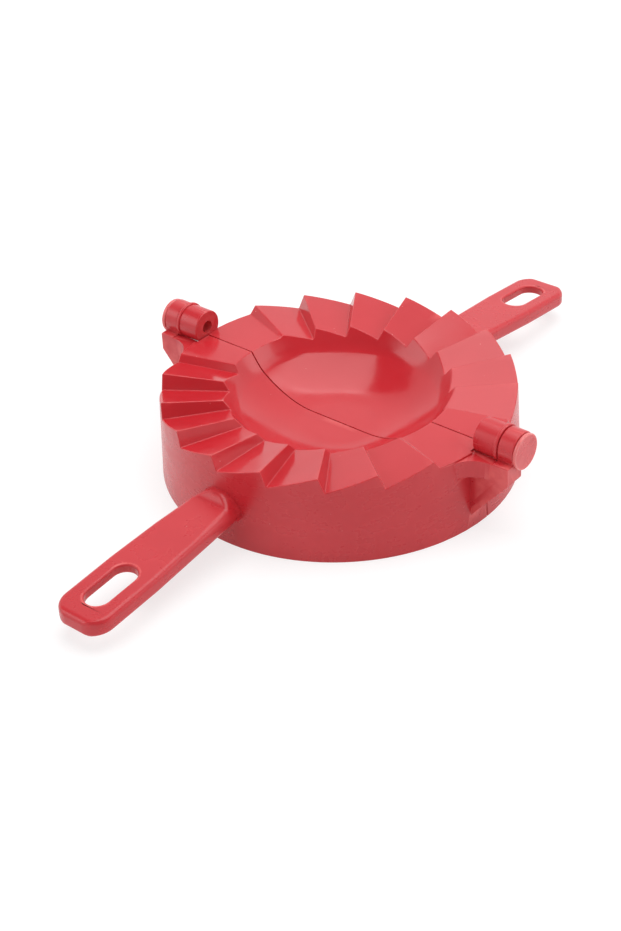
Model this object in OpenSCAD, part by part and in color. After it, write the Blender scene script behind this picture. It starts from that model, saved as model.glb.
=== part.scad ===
// Empanada press: two half-moon mouldings that fold together on a hinge.
// Open flat, it rests on its round skirt, which also cuts the dough disc.
// X is the hinge line, +Y the back half, -Y the front half and +Z is up.
// The origin is at the middle of the skirt's lower edge.

/* [Dough disc] */
// Outer radius of the skirt at its lower edge, where it cuts the dough
skirt_r = 61.5; // [61:0.1:62.5]
// Outer radius of the wall at the height of the tooth tips
tip_r = 60.2; // [59.8:0.1:60.6]
// Thickness of the moulded walls
wall = 2; // [1.6:0.1:2.2]
// Width left at the skirt's lower edge once it is thinned for cutting
cut_edge = 0.9; // [0.6:0.1:1.4]
// Gap between the two halves when the press lies open
split_gap = 0.4; // [0.3:0.05:0.6]

/* [Pleated rim] */
// Number of risers on each half
teeth = 9; // [9:1:9]
// Angle from one riser to the next
pitch = 18; // [17.6:0.1:18.2]
// Turn of the whole saw-tooth pattern, so that the halves mesh with room for dough
phase = 2.2; // [1.6:0.1:2.8]
// Half the angle that one riser takes up, so that it leans a little
riser_lean = 1; // [0.8:0.1:1.4]
// Height of the tooth tips at the outer edge
tip_z = 31.3; // [31:0.1:31.6]
// Height of the valleys at the outer edge
valley_z = 26; // [25.8:0.1:26.4]
// Height of the plain lands beside the hinge
land_z = 28.3; // [28:0.1:28.6]
// Height of the tooth tips at their inner end
tip_in_z = 28.9; // [28.6:0.1:29.2]
// Height of the valleys at their inner end
valley_in_z = 25.7; // [25.5:0.1:25.9]

/* [Bowl] */
// Depth of the bowl's level floor below the lands
bowl_depth = 14.7; // [13.5:0.1:15.5]
// Radius of the level floor
floor_r = 12; // [9:0.5:14]
// Radius at which the bowl's gentle dish turns into its steeper wall
turn_r = 33.2; // [32.8:0.1:33.6]
// Height of the dish at that radius
turn_z = 21.3; // [21:0.1:21.6]
// Radius at which the wall becomes a straight slope up to the teeth
foot_r = 36.5; // [36.3:0.1:36.8]
// Height of the foot of that slope
foot_z = 24.9; // [24.7:0.1:25.1]

/* [Hinge] */
// Height of the hinge line
axis_z = 31.4; // [31.3:0.1:31.8]
// Radius of the knuckles
knuckle_r = 6; // [5.6:0.1:6.2]
// Distance from the middle to the inner end of the inner knuckles
knuckle_in = 59.4; // [59.4:0.1:60]
// Distance from the middle to the outer end of the inner knuckles
knuckle_mid = 68.6; // [68:0.1:69.2]
// Distance from the middle to the outer end of the outer knuckles
knuckle_out = 74.5; // [73.8:0.1:75]
// Gap between two knuckles along the pin
knuckle_gap = 0.3; // [0.3:0.05:0.5]
// Diameter of the hinge pins
pin_d = 4.5; // [4:0.1:5]
// Running clearance between a pin and the inner knuckle, on the radius
pin_play = 0.05; // [0.03:0.01:0.08]
// Thickness of a pin's round head
head_t = 1.4; // [1:0.1:1.6]
// Radius of a pin's round head
head_r = 6.2; // [5.8:0.1:6.4]
// Radius of the lip round the outer end of an inner knuckle
lip_r = 6.5; // [6.1:0.1:6.7]
// Height of the top of the front half's hinge brackets
bracket_z = 27.6; // [27:0.1:27.8]
// Distance from the hinge line to the front face of a bracket
bracket_y = 8.2; // [8:0.1:8.6]
// Thickness of a bracket's front wall
bracket_t = 2.9; // [2.4:0.1:3]
// Height of the band that fills the corner between bracket and skirt
band_h = 6.2; // [5.5:0.1:6.5]
// Height at which a bracket's slanted lower edge meets the skirt
bracket_foot = 4.2; // [3.5:0.1:6]

/* [Handles] */
// Distance from the middle to the end of a handle
reach = 128.2; // [124:0.2:132]
// Height of a handle's top face where it leaves the skirt
root_z = 17.5; // [17:0.1:18]
// Height of a handle's top face at its end
end_z = 11.3; // [10.5:0.1:12]
// Thickness of a handle at its edge
grip_t = 5.6; // [5.4:0.1:6.2]
// Width of a handle near the skirt
root_w = 17.2; // [16.5:0.1:18]
// Width of a handle near its end
grip_w = 20.4; // [19.8:0.1:21]
// Radius of a handle's two end corners
corner_r = 7; // [6:0.1:8]
// Height of the rounded boss by which a handle joins the skirt, over the handle's line
boss_h = 2.3; // [1.6:0.1:2.5]
// Distance from the middle at which the boss begins to fall to the handle's top face
boss_from = 62; // [61.6:0.1:62.6]
// Distance from the middle at which the boss has run out
boss_to = 66.2; // [65.4:0.1:67.5]
// Radius of a handle's top edges
edge_r = 1.4; // [1:0.1:1.8]
// Length of the hanging slot
slot_l = 20; // [18:0.5:21]
// Width of the hanging slot
slot_w = 9; // [8:0.1:9.4]
// Distance from the middle to the middle of the slot
slot_y = 111.3; // [110:0.1:112]
// Thickness of the handle's top face, which is hollow underneath
grip_skin = 2.9; // [2.4:0.1:3.2]

/* [Hidden] */
coral = "#d4484c";
clear_pink = "#efa9a6";
// Height where the plain skirt ends and the pleated rim begins
seam_z = 23.5;
// Radius of the joint between the bowl and the rim
seam_r = 42;
// Radius at which the inner heights of the teeth are given
tip_in_r = 39.3;
// Outward lean of the slope inside the teeth, mm per mm of height
slope_lean = 0.69;
// Half the angle beside the hinge where the front rim is cut back for the knuckle
notch_angle = 6.3;
// Radius to which the front rim is cut back there
notch_r = 59;
// Angle of an extra section in the plain land beside the hinge
land_angle = 12.5;
// Radius and drop of the bend in the underside, below the slope inside the teeth
bend_r = 40.2;
bend_drop = 1.3;
// Share of a tooth's height by which that bend rises with it
bend_rise = 0.8;
// Height below which the skirt thins inside towards its cutting edge
thin_z = 3;
// Growth of a handle's top edge radius with the height of its boss
boss_round = 2.2;
// Extra radius of a handle's top edges near the root, and the distance at which it has run out
soft_r = 1.2;
soft_to = 82;
// Pieces of each ramp, and rings of facets in the bowl's dish and in its wall
ramp_steps = 4;
dish_rings = 5;
wall_rings = 3;
// Distance from the middle to the foot of a bracket's slanted edge
foot_x = 60;
// Distance from the middle at which a bracket's solids begin, inside the skirt's wall
inside_x = 55;
// Radius of the band's hollow curve, and the distance from the middle to its centre
band_r = 7.9;
band_x = 64;
// Length of the lip on an inner knuckle
lip_l = 1.2;
// Slack that takes a cut clear past a face
past = 1;
smooth = 96;

// Outer radius of the wall at a height: it leans in a little for the mould
function wall_r(z) = skirt_r - (skirt_r - tip_r) * z / tip_z;

// A point at a radius, angle and height, with the angle from the left hinge over the back
function at(r, a, z) = [-r * cos(a), r * sin(a), z];

// Angle of the middle of riser i
function riser(i) = 90 + phase + (i - (teeth - 1) / 2) * pitch;

// Stations round the back rim: angle, outer height and inner height
rim_stations = concat(
    [for (a = [0, notch_angle, notch_angle + 0.1, land_angle]) [a, land_z, land_z]],
    [[riser(0) - riser_lean, land_z, land_z]],
    [for (i = [0 : teeth - 2], s = [0 : ramp_steps])
        let (from = riser(i) + riser_lean,
             to = riser(i + 1) - riser_lean,
             part = s / ramp_steps)
        [from + (to - from) * part,
         tip_z + (valley_z - tip_z) * part,
         tip_in_z + (valley_in_z - tip_in_z) * part]],
    [for (a = [riser(teeth - 1) + riser_lean, 180 - notch_angle - 0.1, 180 - notch_angle, 180])
        [a, land_z, land_z]]);

// Height of the rim's top face at a radius of a station
function rim_z(s, r) = s[2] + (s[1] - s[2]) * (r - tip_in_r) / (tip_r - tip_in_r);

// Height of the slope's upper edge at a station, where it meets the tooth
function slope_top(s) =
    let (k = (s[1] - s[2]) / (tip_r - tip_in_r))
    (s[2] + k * (foot_r - slope_lean * foot_z - tip_in_r)) / (1 - slope_lean * k);

// Radius of the slope at a height
function slope_r(z) = foot_r + (z - foot_z) * slope_lean;

// The dish is a parabola from the level floor to the wall, with this height and slope at its edge
floor_z = land_z - bowl_depth;
dish_slope = 2 * (turn_z - floor_z) / (turn_r - floor_r);
wall_curve = (foot_z - turn_z - dish_slope * (foot_r - turn_r)) / pow(foot_r - turn_r, 2);

// Height of the bowl at a radius: level floor, dish and curved wall
function bowl_z(r) =
    r <= floor_r ? floor_z
    : r <= turn_r ? floor_z + (turn_z - floor_z) * pow((r - floor_r) / (turn_r - floor_r), 2)
    : turn_z + dish_slope * (r - turn_r) + wall_curve * pow(r - turn_r, 2);

// Radii of the bowl's rings, from the edge of the level floor to the foot of the slope
bowl_radii = concat([for (i = [0 : dish_rings]) floor_r + (turn_r - floor_r) * i / dish_rings],
                    [for (i = [1 : wall_rings]) turn_r + (foot_r - turn_r) * i / wall_rings]);

// A point of the bowl's underside, one wall square to its top face
function under(r) =
    let (step = 0.05,
         slope = (bowl_z(r) - bowl_z(r - step)) / step,
         size = sqrt(1 + slope * slope))
    [r + wall * slope / size, bowl_z(r) - wall / size];

// Section of the bowl at a station, as radius and height, over the top and back below
function bowl_section(s) =
    let (top = slope_top(s))
    concat([for (r = bowl_radii) [r, bowl_z(r)]],
           [[slope_r(top), top], [seam_r, rim_z(s, seam_r)]],
           [[seam_r, rim_z(s, seam_r) - wall],
            [bend_r, foot_z - bend_drop + (top - valley_in_z) * bend_rise]],
           [for (i = [len(bowl_radii) - 1 : -1 : 0]) under(bowl_radii[i])]);

// Section of the rim at a station: ramp, wall down to the seam and the hollow behind it
function rim_section(s, notched) =
    let (cut = notched && (s[0] <= notch_angle || s[0] >= 180 - notch_angle),
         out_z = rim_z(s, tip_r),
         low_r = cut ? notch_r : wall_r(seam_z),
         back_r = low_r - wall)
    [[seam_r, rim_z(s, seam_r)],
     [cut ? notch_r : wall_r(out_z), out_z],
     [low_r, seam_z],
     [back_r, seam_z],
     [back_r, rim_z(s, back_r) - wall],
     [seam_r, rim_z(s, seam_r) - wall]];

// A solid through rows of points, each row a closed section, with flat ends
module loft(rows) {
    n = len(rows[0]);
    last = len(rows) - 1;
    sides = [for (j = [0 : last - 1]) for (i = [0 : n - 1])
        let (k = (i + 1) % n)
        each [[j * n + i, j * n + k, (j + 1) * n + i],
              [j * n + k, (j + 1) * n + k, (j + 1) * n + i]]];
    ends = [[for (i = [n - 1 : -1 : 0]) i], [for (i = [0 : n - 1]) last * n + i]];
    polyhedron([for (r = rows) each r], concat(sides, ends));
}

// A solid swept round the middle, with sections that run out from the axis over it and back under it
module domed_sweep(angles, sections, rings, top_z, low_z) {
    n = len(sections[0]);
    last = len(angles) - 1;
    ring = [for (j = [0 : last]) for (p = sections[j]) at(p[0], angles[j], p[1])];
    top = len(ring);
    low = top + 1;
    sides = [for (j = [0 : last - 1]) for (i = [0 : n - 2])
        each [[j * n + i, j * n + i + 1, (j + 1) * n + i],
              [j * n + i + 1, (j + 1) * n + i + 1, (j + 1) * n + i]]];
    crown = [for (j = [0 : last - 1]) [top, j * n, (j + 1) * n]];
    belly = [for (j = [0 : last - 1]) [low, (j + 2) * n - 1, (j + 1) * n - 1]];
    // The ends are strips between the top's points and those under them
    strips = concat([[low, n - 1, 0], [low, 0, top]],
                    [for (i = [0 : rings - 2])
                        each [[i, n - 1 - i, n - 2 - i], [i, n - 2 - i, i + 1]]],
                    [for (f = [[0, 5, 4], [0, 4, 1], [1, 4, 3], [1, 3, 2]])
                        [for (v = f) rings - 1 + v]]);
    ends = concat(strips, [for (f = strips) [for (i = [2 : -1 : 0]) f[i] < top ? last * n + f[i] : f[i]]]);
    polyhedron(concat(ring, [[0, 0, top_z], [0, 0, low_z]]), concat(sides, crown, belly, ends));
}

// Turns a back half's part into the front half's, and opens the split gap
module half(front = false) {
    rotate([0, 0, front ? 180 : 0]) translate([0, split_gap / 2, 0]) children();
}

// Half of the bowl with the slope and the inner ends of the teeth
module bowl() {
    color(coral)
        domed_sweep([for (s = rim_stations) s[0]], [for (s = rim_stations) bowl_section(s)],
                    len(bowl_radii), floor_z, floor_z - wall);
}

// Half of the saw-tooth rim, open underneath
module rim(notched = false) {
    color(coral)
        loft([for (s = rim_stations) [for (p = rim_section(s, notched)) at(p[0], s[0], p[1])]]);
}

// Half of the round skirt, thinned inside towards its cutting edge
module skirt() {
    color(coral)
        rotate_extrude(angle = 180, $fn = smooth)
            polygon([[skirt_r, 0], [wall_r(seam_z), seam_z], [wall_r(seam_z) - wall, seam_z],
                     [wall_r(thin_z) - wall, thin_z], [skirt_r - cut_edge, 0]]);
}

// Everything inside the outer face of the wall, taken off what is joined to it
module wall_core() {
    translate([0, split_gap / 2, 0])
        rotate_extrude($fn = smooth)
            polygon([[0, -past], [wall_r(-past), -past], [wall_r(land_z), land_z], [0, land_z]]);
}

// Points of an arc round a centre
function arc(c, r, from, to, n) =
    [for (i = [0 : n]) let (a = from + (to - from) * i / n) [c[0] + r * cos(a), c[1] + r * sin(a)]];

// Height of a handle's top face at a distance from the middle
function grip_z(y) = root_z + (end_z - root_z) * (y - skirt_r) / (reach - skirt_r);

// Half the width of a handle at a distance from the middle, less its rounded end corners
function grip_side(y) =
    let (wide_y = slot_y - slot_l / 2,
         part = min(1, (y - skirt_r) / (wide_y - skirt_r)),
         turn = max(0, y - reach + corner_r))
    (root_w + (grip_w - root_w) * part) / 2 - corner_r + sqrt(corner_r * corner_r - turn * turn);

// How far a distance lies between two others, from 0 to 1
function part_way(y, from, to) = max(0, min(1, (y - from) / (to - from)));

// Height of the root's boss over a handle's top face
function boss(y) = boss_h * (1 + cos(180 * part_way(y, boss_from, boss_to))) / 2;

// A handle's section at a distance, dropped at the rounded end edge
function grip_row(y, drop = 0) =
    let (side = grip_side(y),
         top = grip_z(y) + boss(y) - drop,
         r = edge_r + boss_round * boss(y) + soft_r * (1 - part_way(y, boss_to, soft_to)),
         low = grip_z(y) - grip_t)
    [for (p = concat([[-side, low], [side, low]],
                     arc([side - r, top - r], r, 0, 90, 6),
                     arc([r - side, top - r], r, 90, 180, 6)))
        [p[0], y, p[1]]];

// The bar of a handle: a boss at the root, a taper and a rounded end, with rounded top edges
module grip() {
    loft(concat(
        [grip_row(skirt_r - wall)],
        [for (t = [0 : 6]) grip_row(boss_from + (boss_to - boss_from) * t / 6)],
        [for (y = [soft_to, slot_y - slot_l / 2]) grip_row(y)],
        [for (t = [0, 20, 40, 60, 75, 90])
            let (off = corner_r * (1 - sin(t)),
                 short = max(0, edge_r - off))
            grip_row(reach - off, edge_r - sqrt(edge_r * edge_r - short * short))]));
}

// The hanging slot, through the handle
module slot() {
    run = (slot_l - slot_w) / 2;
    translate([0, slot_y, -past]) {
        for (s = [-1, 1])
            translate([0, s * run, 0]) cylinder(r = slot_w / 2, h = root_z + 3 * past, $fn = 64);
        translate([-slot_w / 2, -run, 0]) cube([slot_w, 2 * run, root_z + 3 * past]);
    }
}

// The hollow under a handle, inside a wall all round and under its top face
module grip_hollow() {
    from = skirt_r - 2 * wall;
    far = reach - wall;
    side = [for (y = [from, slot_y - slot_l / 2]) [grip_side(max(y, skirt_r)) - wall, y]];
    r = corner_r - wall;
    right = concat(side, arc([side[1][0] - r, far - r], r, 0, 90, 10));
    intersection() {
        linear_extrude(root_z)
            polygon(concat(right, [for (i = [len(right) - 1 : -1 : 0]) [-right[i][0], right[i][1]]]));
        translate([grip_w, 0, 0]) rotate([90, 0, -90]) mirror([1, 0, 0])
            linear_extrude(2 * grip_w)
                polygon([[from, 0], [from, grip_z(from) - grip_skin],
                         [reach, grip_z(reach) - grip_skin], [reach, 0]]);
    }
}

// One handle: an inverted tray with a slot at its end and a boss at its root
module handle() {
    color(coral) difference() {
        grip();
        grip_hollow();
        slot();
        translate([0, -split_gap / 2, 0]) wall_core();
    }
}

// A cylinder along X from one distance to another, on the hinge line
module along_axis(r, from, to) {
    translate([from, 0, axis_z]) rotate([0, 90, 0]) cylinder(r = r, h = to - from, $fn = smooth);
}

// Side outline of a bracket: level top, upright end and slanted lower edge down to the skirt
module bracket_side() {
    polygon([[inside_x, bracket_z], [knuckle_out, bracket_z], [knuckle_out, bracket_z - band_h],
             [foot_x, bracket_foot], [inside_x, bracket_foot]]);
}

// Wall, corner band, block and web of a bracket with its outer knuckle, still uncut
module bracket_body(block_x) {
    // Front wall with its slanted lower edge
    translate([0, -bracket_y + bracket_t, 0]) rotate([90, 0, 0])
        linear_extrude(bracket_t) bracket_side();
    // Band in the corner between the wall and the skirt, with a hollow curve
    translate([0, 0, bracket_z - band_h]) linear_extrude(band_h)
        polygon(concat([[inside_x, -bracket_y + bracket_t], [inside_x, -bracket_y - band_r]],
                       arc([band_x, -bracket_y - band_r], band_r, 180, 90, 12),
                       [[band_x + past, -bracket_y + bracket_t]]));
    // Block under the outer knuckle
    intersection() {
        translate([0, -split_gap / 2, 0]) rotate([90, 0, 0])
            linear_extrude(bracket_y - split_gap / 2) bracket_side();
        translate([block_x, -bracket_y, 0]) cube([knuckle_out - block_x, bracket_y, bracket_z]);
    }
    along_axis(knuckle_r, block_x, knuckle_out);
    // Web that carries the knuckle on the block
    translate([block_x, -knuckle_r, bracket_z - past])
        cube([knuckle_out - block_x, knuckle_r - split_gap / 2, axis_z - bracket_z + past]);
}

// Closes the notch of the front rim beside the bracket's wall, up to the wall's inner face
module notch_filler() {
    y_in = -bracket_y + bracket_t;
    y_out = -split_gap / 2 - notch_r * sin(notch_angle);
    chord = (1 - cos(notch_angle)) / sin(notch_angle);
    translate([0, 0, seam_z]) linear_extrude(bracket_z - seam_z)
        polygon([[notch_r + chord * (y_in + split_gap / 2), y_in],
                 [notch_r + chord * (y_out + split_gap / 2), y_out],
                 [foot_x + past, y_out], [foot_x + past, y_in]]);
}

// Right bracket of the front half, cleared for the back half's knuckle and bored for the pin
module front_bracket() {
    block_x = knuckle_mid + knuckle_gap;
    color(coral) difference() {
        union() {
            difference() {
                bracket_body(block_x);
                rotate([0, 0, 180]) wall_core();
            }
            notch_filler();
        }
        along_axis(knuckle_r + knuckle_gap, inside_x, block_x);
        along_axis(lip_r + knuckle_gap, knuckle_mid - lip_l - knuckle_gap, block_x);
        along_axis(pin_d / 2, foot_x, knuckle_out + past);
    }
}

// Right inner knuckle of the back half, with the lug that joins it to the rim
module back_knuckle() {
    lug_in = 0.1;
    lug_x = knuckle_in + lug_in;
    lug_y = [0.3, 5.2];
    lug_z = [22, 30];
    color(coral) difference() {
        union() {
            along_axis(knuckle_r, knuckle_in, knuckle_mid);
            along_axis(lip_r, knuckle_mid - lip_l, knuckle_mid);
            translate([lug_x, lug_y[0], lug_z[0]])
                cube([knuckle_mid - lug_x, lug_y[1] - lug_y[0], lug_z[1] - lug_z[0]]);
        }
        wall_core();
        along_axis(pin_d / 2 + pin_play, knuckle_in - past, knuckle_mid + past);
    }
}

// Right hinge pin: plain shank with a bevelled tip and a thin round head outside
module hinge_pin() {
    tip = 1.6;
    bevel = 0.5;
    r = pin_d / 2;
    from = knuckle_in + tip;
    head_gap = 0.1;
    head = knuckle_out + head_gap;
    color(clear_pink)
        translate([0, 0, axis_z]) rotate([0, 90, 0])
            rotate_extrude($fn = smooth)
                polygon([[0, from], [r - bevel, from], [r, from + bevel], [r, head],
                         [head_r, head], [head_r, head + head_t - bevel],
                         [head_r - bevel, head + head_t], [0, head + head_t]]);
}

module left() { mirror([1, 0, 0]) children(); }

half(true) bowl();  // front_bowl
half(true) rim(true);  // front_rim
half(true) skirt();  // front_skirt
half(true) handle();  // front_handle
left() front_bracket();  // front_bracket_left
front_bracket();  // front_bracket_right
half() bowl();  // back_bowl
half() rim();  // back_rim
half() skirt();  // back_skirt
half() handle();  // back_handle
left() back_knuckle();  // back_knuckle_left
back_knuckle();  // back_knuckle_right
left() hinge_pin();  // hinge_pin_left
hinge_pin();  // hinge_pin_right
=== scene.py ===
import logging
import math
from collections.abc import Callable, Sequence
from dataclasses import dataclass
from enum import Enum

import bmesh
import bpy
from mathutils import Matrix, Vector


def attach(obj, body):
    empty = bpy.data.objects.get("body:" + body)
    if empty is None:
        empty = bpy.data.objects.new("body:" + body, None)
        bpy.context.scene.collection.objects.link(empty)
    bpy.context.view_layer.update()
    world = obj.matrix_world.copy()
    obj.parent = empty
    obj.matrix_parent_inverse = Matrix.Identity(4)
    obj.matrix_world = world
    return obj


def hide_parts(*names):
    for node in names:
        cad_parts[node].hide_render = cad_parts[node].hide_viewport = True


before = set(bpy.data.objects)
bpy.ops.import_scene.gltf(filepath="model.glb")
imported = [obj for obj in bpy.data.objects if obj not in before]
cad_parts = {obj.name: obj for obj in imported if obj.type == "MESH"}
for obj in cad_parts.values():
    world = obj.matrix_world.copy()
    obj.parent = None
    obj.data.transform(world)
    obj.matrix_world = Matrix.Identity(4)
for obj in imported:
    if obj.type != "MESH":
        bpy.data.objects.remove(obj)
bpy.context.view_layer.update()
MM = 0.001
log = logging.getLogger("press")

Point = tuple[float, float]
Colour = tuple[float, float, float]


class Half(Enum):
    """The two mouldings, with the turn about the upright axis that sets each in place."""

    BACK = 0
    FRONT = 180

    @property
    def body(self) -> str:
        """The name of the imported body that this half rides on."""
        return f"{self.name.lower()}_half"


class End(Enum):
    """The two ends of the hinge, with the sign of X at each."""

    RIGHT = 1
    LEFT = -1


class Combine(Enum):
    """Ways of combining two closed solids."""

    UNION = "UNION"
    CUT = "DIFFERENCE"


# Bench tools: small steps of modelling that every piece uses.


def deselect() -> None:
    """Leaves edit mode and deselects every object."""
    if bpy.context.mode != "OBJECT":
        bpy.ops.object.mode_set(mode="OBJECT")
    bpy.ops.object.select_all(action="DESELECT")


def hold(piece: bpy.types.Object) -> None:
    """Makes a piece the only selected and active one.

    Args:
        piece: The object to work on next.
    """
    deselect()
    piece.select_set(True)
    bpy.context.view_layer.objects.active = piece


def edit(piece: bpy.types.Object, mode: str = "VERT") -> None:
    """Opens a piece in edit mode with nothing selected.

    Args:
        piece: The object to open.
        mode: The kind of element to select: VERT, EDGE or FACE.
    """
    hold(piece)
    bpy.ops.object.mode_set(mode="EDIT")
    bpy.ops.mesh.select_mode(type=mode)
    bpy.ops.mesh.select_all(action="DESELECT")


def close_edit() -> None:
    """Returns to object mode."""
    bpy.ops.object.mode_set(mode="OBJECT")


def pick_faces(piece: bpy.types.Object, test: Callable[[bmesh.types.BMFace], bool]) -> None:
    """Selects the faces of the open piece that pass a test.

    Args:
        piece: The object in edit mode.
        test: Says of a face whether it is wanted.
    """
    mesh = bmesh.from_edit_mesh(piece.data)
    for f in [f for f in mesh.faces if test(f)]:
        f.select_set(True)
    bmesh.update_edit_mesh(piece.data)


def pick_edges(piece: bpy.types.Object, test: Callable[[Vector, Vector], bool]) -> None:
    """Selects the edges of the open piece whose two ends pass a test.

    Args:
        piece: The object in edit mode.
        test: Says of two end points whether their edge is wanted.
    """
    mesh = bmesh.from_edit_mesh(piece.data)
    for e in [e for e in mesh.edges if test(e.verts[0].co, e.verts[1].co)]:
        e.select_set(True)
    bmesh.update_edit_mesh(piece.data)


def finish_mesh(piece: bpy.types.Object, merge: float = 1e-6) -> None:
    """Merges doubled points of a piece and turns all its faces outwards.

    Args:
        piece: The closed solid.
        merge: The distance under which two points become one.
    """
    edit(piece)
    bpy.ops.mesh.select_all(action="SELECT")
    bpy.ops.mesh.remove_doubles(threshold=merge)
    bpy.ops.mesh.normals_make_consistent(inside=False)
    close_edit()


def set_place(piece: bpy.types.Object) -> None:
    """Writes a piece's place, turn and size into its mesh.

    Args:
        piece: The object whose own transform becomes neutral.
    """
    hold(piece)
    bpy.ops.object.transform_apply(location=True, rotation=True, scale=True)


def block(name: str, low: Sequence[float], high: Sequence[float]) -> bpy.types.Object:
    """Adds a box between two corners, as the start of a piece.

    Args:
        name: The new object's name.
        low: The lowest corner in mm.
        high: The highest corner in mm.

    Returns:
        The box, with its place in its mesh.
    """
    deselect()
    centre = [(a + b) / 2 * MM for a, b in zip(low, high)]
    bpy.ops.mesh.primitive_cube_add(size=1, location=centre)
    piece = bpy.context.object
    piece.name = name
    piece.scale = [(b - a) * MM for a, b in zip(low, high)]
    set_place(piece)
    return piece


def rod(name: str, radius: float, x0: float, x1: float, y: float, z: float,
        sides: int = 96) -> bpy.types.Object:
    """Adds a round bar along X, as the start of a piece.

    Args:
        name: The new object's name.
        radius: Radius in mm.
        x0: X of the first end in mm.
        x1: X of the second end in mm.
        y: Y of the middle line in mm.
        z: Height of the middle line in mm.
        sides: How many sides the circle has.

    Returns:
        The bar, with its place in its mesh.
    """
    deselect()
    bpy.ops.mesh.primitive_cylinder_add(
        vertices=sides, radius=radius * MM, depth=(x1 - x0) * MM,
        location=((x0 + x1) / 2 * MM, y * MM, z * MM), rotation=(0, math.pi / 2, 0))
    piece = bpy.context.object
    piece.name = name
    set_place(piece)
    return piece


def post(name: str, radius: float, x: float, y: float, z0: float, z1: float, sides: int = 96,
         top_radius: float | None = None) -> bpy.types.Object:
    """Adds an upright round bar or cone, as the start of a piece.

    Args:
        name: The new object's name.
        radius: Radius at the lower end in mm.
        x: X of the middle line in mm.
        y: Y of the middle line in mm.
        z0: Height of the lower end in mm.
        z1: Height of the upper end in mm.
        sides: How many sides the circle has.
        top_radius: Radius at the upper end in mm, if it differs.

    Returns:
        The bar, with its place in its mesh.
    """
    deselect()
    bpy.ops.mesh.primitive_cone_add(
        vertices=sides, radius1=radius * MM, radius2=(top_radius or radius) * MM, depth=(z1 - z0) * MM,
        location=(x * MM, y * MM, (z0 + z1) / 2 * MM))
    piece = bpy.context.object
    piece.name = name
    set_place(piece)
    return piece


def wall_core(top: float) -> bpy.types.Object:
    """The space inside the skirt's outer face up to a height in mm, to clear a hinge part of it."""
    return post("wall_core", 60.5, 0, 0, -1, top, 192, 59.3)


def combine(piece: bpy.types.Object, tool: bpy.types.Object, way: Combine) -> None:
    """Combines a piece with a tool solid and removes the tool.

    Args:
        piece: The solid that stays.
        tool: The solid that is used up.
        way: How they combine.
    """
    hold(piece)
    mod = piece.modifiers.new("combine", "BOOLEAN")
    mod.operation = way.value
    mod.solver = "MANIFOLD"
    mod.object = tool
    bpy.ops.object.modifier_apply(modifier=mod.name)
    bpy.data.objects.remove(tool, do_unlink=True)


def slice_off(piece: bpy.types.Object, point: Sequence[float], normal: Sequence[float]) -> None:
    """Cuts a piece by a plane, removes what lies beyond it and closes the cut.

    Args:
        piece: The solid to cut.
        point: A point of the plane in mm.
        normal: The side that is removed.
    """
    edit(piece)
    bpy.ops.mesh.select_all(action="SELECT")
    bpy.ops.mesh.bisect(plane_co=[v * MM for v in point], plane_no=Vector(normal).normalized(), use_fill=True,
                        clear_outer=True)
    close_edit()


def bevel(piece: bpy.types.Object, width: float, segments: int, method: str, angle: float) -> None:
    """Bevels a piece's edges, chosen by their angle or by their weights.

    Args:
        piece: The solid.
        width: Width of the rounding in mm.
        segments: How many faces go round each edge.
        method: ANGLE or WEIGHT.
        angle: Least angle in degrees, which counts for ANGLE only.
    """
    hold(piece)
    mod = piece.modifiers.new("round", "BEVEL")
    mod.width = width * MM
    mod.segments = segments
    mod.limit_method = method
    mod.angle_limit = math.radians(angle)
    mod.use_clamp_overlap = True
    mod.miter_outer = "MITER_ARC"
    bpy.ops.object.modifier_apply(modifier=mod.name)


def round_edges(piece: bpy.types.Object, width: float, segments: int = 3, angle: float = 30.0) -> None:
    """Rounds every edge of a piece that is sharper than an angle.

    Args:
        piece: The solid.
        width: Width of the rounding in mm.
        segments: How many faces go round each edge.
        angle: Least angle in degrees at which an edge is rounded.
    """
    bevel(piece, width, segments, "ANGLE", angle)


def round_by_place(piece: bpy.types.Object, width: float, share: float,
                   test: Callable[[Vector, Vector], bool], segments: int = 3, angle: float = 30.0) -> None:
    """Rounds the sharp edges of a piece, fully where a test passes and less elsewhere.

    Args:
        piece: The solid.
        width: Width of the full rounding in mm.
        share: How much of it the other edges get.
        test: Says of an edge's two ends whether it gets the full rounding.
        segments: How many faces go round each edge.
        angle: Least angle in degrees at which an edge is rounded.
    """
    edit(piece, "EDGE")
    bpy.ops.mesh.edges_select_sharp(sharpness=math.radians(angle))
    mesh = bmesh.from_edit_mesh(piece.data)
    layer = mesh.edges.layers.float.new("bevel_weight_edge")
    for e in mesh.edges:
        if e.select:
            e[layer] = 1.0 if test(e.verts[0].co, e.verts[1].co) else share
    bmesh.update_edit_mesh(piece.data)
    close_edit()
    bevel(piece, width, segments, "WEIGHT", angle)


def copy_of(piece: bpy.types.Object, name: str) -> bpy.types.Object:
    """Copies a piece with its own mesh.

    Args:
        piece: The object to copy.
        name: The copy's name.

    Returns:
        The copy.
    """
    hold(piece)
    bpy.ops.object.duplicate()
    twin = bpy.context.object
    twin.name = name
    return twin


def mirrored(piece: bpy.types.Object, name: str) -> bpy.types.Object:
    """Copies a piece to the other end of the hinge.

    Args:
        piece: The object at the right end.
        name: The copy's name.

    Returns:
        The copy at the left end, with its faces outwards.
    """
    twin = copy_of(piece, name)
    twin.scale = (-1, 1, 1)
    set_place(twin)
    finish_mesh(twin)
    return twin


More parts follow.
